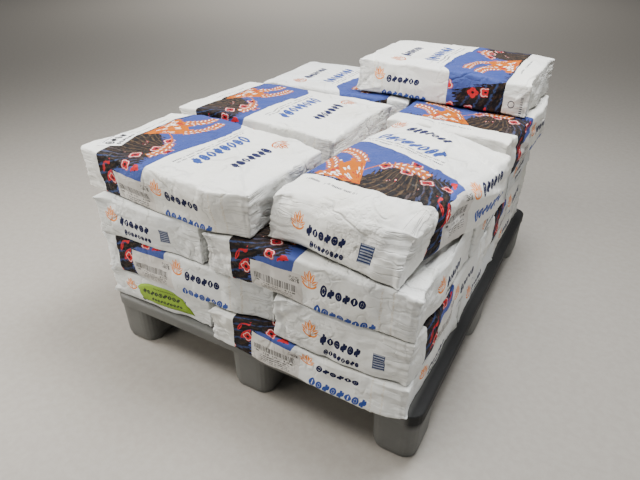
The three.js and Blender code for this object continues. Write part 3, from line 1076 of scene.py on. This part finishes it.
def build_sack(sack, shapes, material):
    filled, t, quads, sides = filled_shape(sack, shapes)
    p, direction = creased(sack, filled, t)
    along, side, rise = fitted(sack, p, t, direction).T
    x = sack.x * MM + along * math.cos(sack.turn) - side * math.sin(sack.turn)
    y = sack.y * MM + along * math.sin(sack.turn) + side * math.cos(sack.turn)
    share = np.clip(rise / sack.height, 0, 1)
    z = (sack.bottom + REST_GAP) * MM + rise
    z += sag_of(sack.layer - 1, x, y) * (1 - share) + sag_of(sack.layer, x, y) * share
    co = np.stack([x, y, z], axis=1)
    if sack.name == "sack_layer1_right_front":
        co = droop(co)
    mesh = new_mesh(sack.name + "_paper", co, quads)
    mesh.uv_layers.new(name="print").data.foreach_set("uv", uv_of(t, quads, sides, sack).ravel())
    mesh.materials.append(material)
    ob = add_object(sack.name + "_paper", mesh)
    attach(ob, "root")
    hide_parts(sack.name)
    return ob


def droop(co):
    """The front bottom edge hangs over the edge of the deck, more toward the corner."""
    x, y, z = co.T
    front = step(-y, 0.575, 0.600)
    low = step(0.205 - z, 0.0, 0.045)
    down = np.interp(x, [-0.10, -0.03, 0.06, 0.34, 0.395, 0.44, 0.465], [0, 2, 8, 18, 18, 8, 0]) * MM
    moved = co.copy()
    moved[:, 2] -= down * front * low
    moved[:, 1] -= 0.010 * front * low * np.interp(x, [-0.1, 0.06, 0.42, 0.48], [0, 1, 1, 0.3])
    return moved


# What sets single sacks apart. Places are shares of the half size, with the sack's middle at 0, or
# millimetres along, left and up for the askew sack.
# ears: signs of a corner, and where the paper's tip goes. corners: signs of an upright corner, and
# how far it goes. lows: middle, radii and depth of a sunken place. foot: how far the side bulges
# out below. laps: a line in millimetres, height and width of its step. folds: from, to, half width
# and height. stretch and skew draw the print together toward the sack's end.
DETAILS = {
    "sack_layer1_left_front": dict(
        cap_shift=0.005, crush=1.2, corners=[((-1, -1), (12, 8))],
        ears=[((-1, 1, -1), (-2, 5, 0)), ((-1, -1, 1), (-5, -3, 1))],
        folds=[(-1, 0.9, 0.9, -1, 0.2, -0.6, 14, -3), (-1, -0.8, 0.8, -1, -0.3, -0.5, 12, -3)],
    ),
    "sack_layer1_right_front": dict(
        crush=1.2, cap_shift=-0.026, girth_shift=0.016, corners=[((1, -1), (-6, 2))],
        ears=[((-1, -1, 1), (-9, -2, 1)), ((1, -1, -1), (6, -4, 1))],
        folds=[(-0.98, -1, 0.9, -0.75, -1, -0.9, 12, -3), (-1, -1, 0, -0.8, -1, 0.1, 10, -3)],
    ),
    "sack_layer2_left_front": dict(
        girth_shift=0.012, slide=0.026, corners=[((1, -1), (0, 24))],
        ears=[((-1, -1, 1), (-9, -2, 1)), ((-1, -1, -1), (-3, -3, 0))],
        folds=[(0.98, -1, 0.7, 0.7, -1, -0.8, 14, -3)],
    ),
    "sack_layer2_right_front": dict(
        crush=1.3, cap_shift=-0.022, cap_drop=0.006, corners=[((-1, -1), (0, 12))],
        ears=[((-1, 1, 1), (-8, -6, -2)), ((-1, -1, 1), (-3, 1, 1))],
        folds=[
            (-1, 1.0, 0.2, -1, 0.60, 1.0, 14, 7), (-1, 0.95, -0.3, -1, 0.70, 0.6, 10, -6),
            (-1, 0.80, -0.9, -1, 0.92, 0.5, 9, -6), (-1, 0.55, 1.0, -1, 0.72, 0.3, 10, -5),
            (-1, 1.0, -0.6, -1, 0.84, -0.9, 10, 6), (-1, 0.90, 0.9, -1, 0.80, -0.5, 8, -5),
        ],
    ),
    "sack_layer3_left_front": dict(
        cap_shift=0.028, corners=[((-1, -1), (10, 12))],
        ears=[((-1, 1, 1), (-3, 6, 2)), ((-1, -1, -1), (-4, -4, -1))],
        folds=[(-1, 1, 0.9, -1, 0.45, -0.3, 14, -3), (-1, -1, 0.8, -1, -0.7, -0.7, 12, -3)],
    ),
    "sack_layer3_right_front": dict(
        open_top=0.5, crush=1.2, girth_shift=0.004, cap_shift=-0.056,
        ears=[((1, -1, 1), (2, -2, 2)), ((-1, -1, 1), (-9, -3, 1))],
        corners=[((1, -1), (-12, 2)), ((1, 1), (-6, 0))],
        laps=[(((288, -172), (268, -120), (262, -70), (276, 20), (270, 120)), -4.0, 9)],
        folds=[
            (0.98, -0.95, 1, 0.86, 0.1, 1, 14, 5), (0.80, -0.6, 1, 0.93, 0.6, 1, 12, -4),
            (-0.96, -1, 0.8, -0.80, -1, -0.9, 12, -4), (-1, -1, -0.1, -0.78, -1, 0.2, 10, -3),
        ],
    ),
    "sack_layer4_left_front": dict(
        girth_shift=0.003, cap_shift=0.6, crush=1.2, foot=8,
        corners=[((1, -1), (-2, 28)), ((1, 1), (-4, -30)), ((-1, -1), (-10, 4)), ((-1, 1), (-14, -26))],
        laps=[
            (((205, -186), (250, -168), (289, -150)), -5.0, 12),
            (((262, -140), (215, -96), (186, -30)), 4.0, 11),
            (((288, 20), (230, 60), (205, 118)), -3.4, 10),
        ],
        folds=[
            (0.55, -1.0, 1, 0.95, -0.86, 1, 16, -6), (0.93, -0.95, 1, 0.62, -0.45, 1, 14, 4),
            (0.95, -0.6, 1, 0.50, -0.15, 1, 14, -4), (0.90, 0.2, 1, 0.60, 0.7, 1, 12, -3),
            (0.99, -1, 0.9, 0.93, -1, -0.9, 9, 3),
        ],
    ),
    "sack_layer4_left_middle": dict(
        crush=1.2, girth_shift=-0.004, cap_shift=0.6,
        laps=[(((288, -120), (240, -40), (262, 60)), -4.0, 11)],
        folds=[(0.93, -0.9, 1, 0.50, 0.1, 1, 16, -5), (0.96, -0.4, 1, 0.70, 0.6, 1, 14, 4)],
    ),
    "sack_layer4_right_front": dict(
        crush=2.2, girth_shift=0.040, slide=-0.028, stretch=0.022, skew=0.026, cap_shift=-0.014,
        ears=[((-1, -1, -1), (-4, -4, -1)), ((1, -1, 1), (-6, 2, 8))], corners=[((1, -1), (-12, 4))],
        laps=[
            (((272, 75), (236, -20), (190, -118), (172, -190)), 6.0, 15),
            (((236, -20), (120, -60), (40, -150)), -3.4, 13),
            (((-120, -10), (-84, -62), (-92, -110), (-118, -190)), -4.0, 12),
            (((-262, -60), (-222, -104), (-206, -186)), -4.0, 12),
        ],
        folds=[
            (-200, -176, 122, -240, -210, 2, 14, 7), (-236, -112, 122, -206, -84, 140, 13, -9),
            (-286, 30, 108, -200, -60, 140, 18, -7), (-180, -185, 118, 260, -175, 112, 22, 6),
            (-100, -120, 140, 60, -80, 146, 20, -5), (-262, 100, 118, -238, 96, 60, 16, -8),
            (-215, -130, 118, -150, -60, 140, 18, 6), (-140, -200, 60, 60, -206, 96, 18, -6),
            (40, -190, 110, 250, -190, 60, 20, 7), (-60, -196, 104, 130, -198, 40, 18, -6),
            (-210, 150, 100, 40, 180, 60, 16, -5),
        ],
    ),
    "sack_layer4_right_back": dict(
        crush=1.5, corners=[((1, -1), (-10, 16)), ((-1, -1), (2, 8))],
        laps=[(((-284, 120), (-250, 40), (-262, -60), (-236, -170)), -4.6, 12)],
        folds=[
            (-0.98, -0.98, 1, -0.99, -1, -0.9, 14, 4), (-0.95, 0.2, 1, -0.5, 0.5, 1, 16, -4),
            (-0.9, -1, 0.7, -0.2, -1, -0.4, 14, -5), (-0.5, -1, 0.9, 0.3, -1, 0.0, 14, -5),
        ],
    ),
    "sack_layer5_back": dict(
        crush=1.3, cap_shift=0.6, slide=-0.004, ears=[((1, 1, -1), (6, 3, 0))],
        corners=[((-1, 1), (6, -8)), ((-1, -1), (4, 8))],
        lows=[((-0.85, 1.05), (0.34, 0.75), 22), ((0.1, 1.1), (0.7, 0.45), 8)],
        laps=[
            (((288, 40), (262, 110), (232, 178)), 4.0, 10),
            (((-284, 60), (-262, 120), (-270, 174)), -4.0, 10),
        ],
        folds=[
            (0.97, 1, 0.9, 0.75, 1, -0.3, 14, -7), (0.99, 1, -0.1, 0.80, 1, -0.8, 12, -6),
            (1.0, 1, -0.8, 0.78, 1, 0.3, 9, -7), (1.0, 1, -0.95, 0.70, 1, -0.55, 9, 6),
            (-0.98, 1, 0.8, -0.80, 0.95, 0.95, 14, -6), (-0.96, 1, 0.9, -0.90, 1, -0.9, 12, -4),
            (-1, 0.9, 0.6, -0.84, 1, -0.3, 14, 5), (-0.9, 0.6, 1, -0.7, 0.95, 1, 14, -5),
            (-1, 0.3, 0.5, -1, 0.9, 0.9, 13, -6), (-1, 0.9, -0.7, -1, 0.2, 0.1, 13, -6),
        ],
    ),
}


def sacks():
    """The stack, sack by sack. Those that DETAILS names are seen close and have finer meshes."""
    def two(x, y_front):
        return [dict(x=x, y=y_front + SACK_LENGTH / 2 + i * LENGTHWISE_PITCH, along_y=True) for i in (0, 1)]

    def three(x, y_front):
        return [dict(x=x, y=y_front + SACK_WIDTH / 2 + i * ACROSS_PITCH) for i in (0, 1, 2)]

    layers = [
        (two(-308, FRONT + 6), three(186, FRONT - 10)),
        (three(-205, FRONT + 6), two(286, FRONT - 2)),
        (two(-302, FRONT + 2), three(190, FRONT + 2)),
        ([
            dict(x=-242, y=-402, yaw=-4.5, length=590, width=368, open_top=1),
            dict(x=-248, y=16, yaw=-2.5, length=596, open_top=1),
            dict(x=-200, y=424, yaw=1, length=580, width=372, open_top=1, turned_round=True),
        ], [
            dict(x=272, y=-308, yaw=-15, askew=True, along_y=True, top=650, open_top=1),
            dict(x=304, y=326, yaw=-2.5, along_y=True, width=384, top=TOP_SACK_BOTTOM, open_top=1),
        ]),
    ]
    specs = {}
    for layer, (columns, bottom, top) in enumerate(zip(layers, [DECK_TOP, *LAYER_TOPS], LAYER_TOPS), 1):
        common = dict(bottom=bottom, top=top, layer=layer)
        for side, column in zip(("left", "right"), columns):
            words = ("front", "back") if len(column) == 2 else ("front", "middle", "back")
            for word, place in zip(words, column):
                specs[f"sack_layer{layer}_{side}_{word}"] = {**common, **place}
    specs["sack_layer5_back"] = dict(
        x=192, y=432, yaw=-1.5, length=580, width=352, bottom=TOP_SACK_BOTTOM, top=TOP_SACK_TOP, layer=5,
        turned_round=True, open_top=1,
    )
    for seed, (name, spec) in enumerate(specs.items()):
        if name in DETAILS:
            spec = {**spec, "times": 3, **DETAILS[name]}
        yield new_sack(name, seed=seed, **spec)


def add_label(name, outline, cast_from, way, material, trees):
    """A thin paper sheet laid on the sacks where rays from its outline's plane meet them."""
    ring = [np.array(p, float) for p in outline]
    centre = sum(ring) / len(ring)
    shares = [1.0, 0.8, 0.6, 0.4, 0.2]
    dense = []
    for a, b in zip(ring, ring[1:] + ring[:1]):
        pieces = max(1, int(np.linalg.norm(b - a) // LABEL_PITCH))
        dense += [a + (b - a) * i / pieces for i in range(pieces)]
    flat = [centre + (p - centre) * s for s in shares for p in dense] + [centre]
    n = len(dense)
    last = (len(shares) - 1) * n
    faces = [(r * n + i, r * n + (i + 1) % n, (r + 1) * n + (i + 1) % n, (r + 1) * n + i)
             for r in range(len(shares) - 1) for i in range(n)]
    faces += [(last + i, last + (i + 1) % n, len(flat) - 1) for i in range(n)]
    way = Vector(way).normalized()
    found = []
    for p in flat:
        hits = [tree.ray_cast(Vector(cast_from(p)), way, LABEL_REACH) for tree in trees]
        found.append(min((h[3] for h in hits if h[0] is not None), default=None))
    known = sorted(h for h in found if h is not None)
    middle = known[len(known) // 2]
    reach = [h if h is not None and h < middle + LABEL_GAP else middle for h in found]
    front = [Vector(cast_from(p)) + way * (h - LABEL_OUT) for p, h in zip(flat, reach)]
    count = len(front)
    back = [tuple(i + count for i in f[::-1]) for f in faces]
    edge = [((i + 1) % n, i, i + count, (i + 1) % n + count) for i in range(n)]
    co = np.array([tuple(v) for v in front + [v + way * LABEL_THICKNESS for v in front]])
    mesh = new_mesh(name + "_sheet", co, faces + back + edge)
    layer = mesh.uv_layers.new(name="print")
    for loop in mesh.loops:
        p = flat[loop.vertex_index % count]
        layer.data[loop.index].uv = (p[0] * MM + 0.2, p[1] * MM + 0.2)
    mesh.materials.append(material)
    ob = add_object(name + "_sheet", mesh)
    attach(ob, "root")
    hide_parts(name)


def add_floor():
    line = np.linspace(-FLOOR_SIZE / 2, FLOOR_SIZE / 2, FLOOR_CELLS + 1)
    gx, gy = np.meshgrid(line, line, indexing="ij")
    co = np.stack([gx.ravel(), gy.ravel(), np.full(gx.size, -FLOOR_DROP)], axis=1)
    row = FLOOR_CELLS + 1
    corners = [i * row + j for i in range(FLOOR_CELLS) for j in range(FLOOR_CELLS)]
    mesh = new_mesh("floor", co, [(c, c + row, c + row + 1, c + 1) for c in corners], False)
    mesh.materials.append(floor_material())
    add_object("floor", mesh)


FLOOR_SIZE = 24.0
FLOOR_CELLS = 24
FLOOR_DROP = 0.0004

# Labels: in metres, how deep rays look, how far past the middle of their hits they may go, how far
# the sheet stands off the paper and how thick it is; in millimetres, how far apart its points are
LABEL_REACH = 0.2
LABEL_GAP = 0.012
LABEL_OUT = 0.0009
LABEL_THICKNESS = 0.0005
LABEL_PITCH = 6
# Places and outlines in millimetres, in the labels' own planes. Rows of marks: middle, height,
# pitch, first, last, seed, with the label's middle at (200, 200)
GREEN_AT = (-290, 212)
GREEN_OUTLINE = [
    (-103, 8), (-97, -14), (-84, -30), (-60, -34), (0, -34), (60, -34), (100, -33),
    (88, -10), (64, 14), (32, 29), (-8, 34), (-58, 31), (-88, 22),
]
GREEN_MARKS = [(204, 9, 15, 118, 252, 2), (184, 6, 11, 150, 262, 5), (221, 2, 6, 160, 240, 7)]
WHITE_AT = (-488, -476)
WHITE_TURN = math.radians(106)
WHITE_LEFT = -524
WHITE_OUTLINE = [(-54, -38), (54, -38), (54, 38), (-54, 38)]
WHITE_MARKS = [(207, 15, 22, 154, 242, 3), (178, 8, 14, 156, 240, 4), (230, 3, 6, 164, 224, 6)]


def green_from(p):
    return (GREEN_AT[0] + p[0]) * MM, -0.70, (GREEN_AT[1] + p[1]) * MM


def white_from(p):
    """Where the ray of a point of the white label starts. The sheet ends at the left edge of its sack."""
    c, s = math.cos(WHITE_TURN), math.sin(WHITE_TURN)
    x = max(WHITE_AT[0] + p[0] * c - p[1] * s, WHITE_LEFT)
    return x * MM, (WHITE_AT[1] + p[0] * s + p[1] * c) * MM, 0.70


add_camera()
add_world()
for light in LIGHTS:
    add_area_light(*light)
add_floor()

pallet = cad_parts["pallet"]
pallet.data.materials.clear()
pallet.data.materials.append(pallet_material())

# Seed, pressure, growth and bending stiffness of each filled shape
FILLINGS = [(3, 4.0, 0.010, 0.05), (4, 3.0, 0.016, 0.10), (5, 5.0, 0.013, 0.30), (6, 4.0, 0.022, 0.50)]
shapes = [simulate(*filling) for filling in FILLINGS]
paper = sack_material()
trees = []
for sack in sacks():
    mesh = build_sack(sack, shapes, paper).data
    faces = [face.vertices[:] for face in mesh.polygons]
    trees.append(BVHTree.FromPolygons([point.co[:] for point in mesh.vertices], faces))

green = label_material("green_paper", (0.26, 0.42, 0.028), (0.02, 0.03, 0.015), GREEN_MARKS)
add_label("green_label", GREEN_OUTLINE, green_from, (0, 1, 0), green, trees)
white = label_material("white_paper", (0.93, 0.93, 0.93), (0.012, 0.012, 0.016), WHITE_MARKS)
add_label("white_label", WHITE_OUTLINE, white_from, (0, 0, -1), white, trees)
